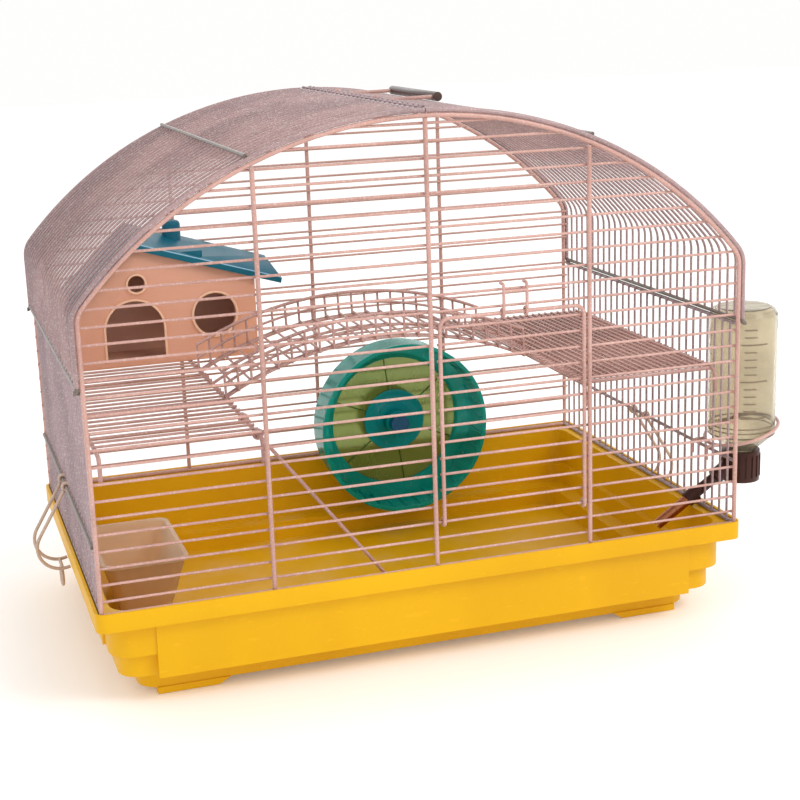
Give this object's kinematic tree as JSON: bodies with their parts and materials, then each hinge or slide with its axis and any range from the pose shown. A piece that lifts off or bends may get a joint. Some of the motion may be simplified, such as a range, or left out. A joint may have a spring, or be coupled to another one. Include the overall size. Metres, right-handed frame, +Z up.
{
  "type": "hamster cage",
  "caption": "Wire small-pet cage with an arched roof on a moulded tray, with shelves, bridge, ladder, wheel, house, dish and drinking bottle.",
  "frame": {"origin": "the middle of the low pad under the tray, level with the feet, on the ground", "axes": "+X to the right along the long side, +Y from the door side to the back, +Z up"},
  "size_m": [0.4915, 0.2805, 0.3449],
  "materials": {
    "tray_plastic": "smooth moulded yellow plastic",
    "wire_front": "pale pink powder coat",
    "wire_side": "pale pink powder coat",
    "wire_inner": "pale pink powder coat",
    "wire_clip": "pale powder coat over spring wire",
    "grip_plastic": "dark moulded sleeve",
    "house_plastic": "peach moulded plastic",
    "roof_plastic": "teal blue moulded plastic",
    "wheel_teal": "translucent teal plastic",
    "wheel_green": "translucent yellow-green plastic",
    "disc_teal": "teal blue moulded plastic",
    "axle_plastic": "pale moulded plastic",
    "dish_plastic": "cream translucent plastic",
    "bottle_clear": "clear blown plastic",
    "cap_plastic": "dark brown moulded plastic",
    "seal_rubber": "black rubber",
    "spout_metal": "bronze brown tube",
    "ball_steel": "polished steel ball"
  },
  "bodies": {
    "tray": {"base_tray": "tray_plastic"},
    "dish": {"food_dish": "dish_plastic"},
    "cage": {"front_panel": "wire_front", "back_panel": "wire_front", "left_panel": "wire_side", "right_panel": "wire_side", "roof_left": "wire_side", "roof_right": "wire_side", "left_shelf": "wire_inner", "right_shelf": "wire_inner", "bridge_floor": "wire_inner", "bridge_guards": "wire_inner", "house_body": "house_plastic", "wheel_axle": "axle_plastic", "wheel_mount_disc": "disc_teal", "wheel_clamp_nut": "disc_teal", "bottle_holder": "wire_clip"},
    "door": {"front_door": "wire_front"},
    "latch": {"door_latch": "wire_clip"},
    "handle": {"carry_handle": "wire_clip", "handle_grip": "grip_plastic"},
    "clip_left": {"left_clip": "wire_clip"},
    "clip_right": {"right_clip": "wire_clip"},
    "ladder": {"ladder": "wire_inner"},
    "house_lid": {"house_roof": "roof_plastic"},
    "wheel": {"wheel_drum": "wheel_teal", "wheel_back_disc": "wheel_green", "wheel_hub": "disc_teal"},
    "bottle": {"bottle_body": "bottle_clear", "bottle_cap": "cap_plastic", "bottle_seal": "seal_rubber", "spout_elbow": "cap_plastic", "spout_tube": "spout_metal"},
    "ball": {"spout_ball": "ball_steel"}
  },
  "joints": [
    {"name": "dish_lift", "type": "slide", "parent": "tray", "child": "dish", "axis": [0, 0, 1], "range_m": [0, 0.08]},
    {"name": "cage_lift", "type": "slide", "parent": "tray", "child": "cage", "axis": [0, 0, 1], "range_m": [0, 0.08]},
    {"name": "clip_left_swing", "type": "hinge", "parent": "cage", "child": "clip_left", "pos_m": [-0.20793, 0, 0.1043], "axis": [0, 1, 0], "range_deg": [0, 80]},
    {"name": "clip_right_swing", "type": "hinge", "parent": "cage", "child": "clip_right", "pos_m": [0.20793, 0, 0.1043], "axis": [0, -1, 0], "range_deg": [0, 80]},
    {"name": "door_open", "type": "hinge", "parent": "cage", "child": "door", "pos_m": [0, -0.13317, 0.0912], "axis": [1, 0, 0], "range_deg": [0, 150]},
    {"name": "latch_flip", "type": "hinge", "parent": "door", "child": "latch", "pos_m": [0.0535, -0.13522, 0.2185], "axis": [1, 0, 0], "range_deg": [0, 140]},
    {"name": "handle_raise", "type": "hinge", "parent": "cage", "child": "handle", "pos_m": [0.0026, 0, 0.3411], "axis": [0, 1, 0], "range_deg": [-145, 0]},
    {"name": "ladder_lift", "type": "hinge", "parent": "cage", "child": "ladder", "pos_m": [-0.104, -0.098, 0.156], "axis": [0, 1, 0], "range_deg": [-40, 0]},
    {"name": "house_lid_lift", "type": "slide", "parent": "cage", "child": "house_lid", "axis": [0, 0, 1], "range_m": [0, 0.03]},
    {"name": "wheel_spin", "type": "hinge", "parent": "cage", "child": "wheel", "pos_m": [0.053, 0.097, 0.09035], "axis": [0, 1, 0], "continuous": true},
    {"name": "bottle_lift", "type": "slide", "parent": "cage", "child": "bottle", "axis": [0, 0, 1], "range_m": [0, 0.016]},
    {"name": "ball_push", "type": "slide", "parent": "bottle", "child": "ball", "axis": [0.8387, 0, 0.5446], "range_m": [0, 0.0015]}
  ],
  "couplings": [
    {"joint": "clip_left_swing", "follows": "cage_lift", "rad_per_m": 17.4},
    {"joint": "clip_right_swing", "follows": "cage_lift", "rad_per_m": 17.4}
  ]
}
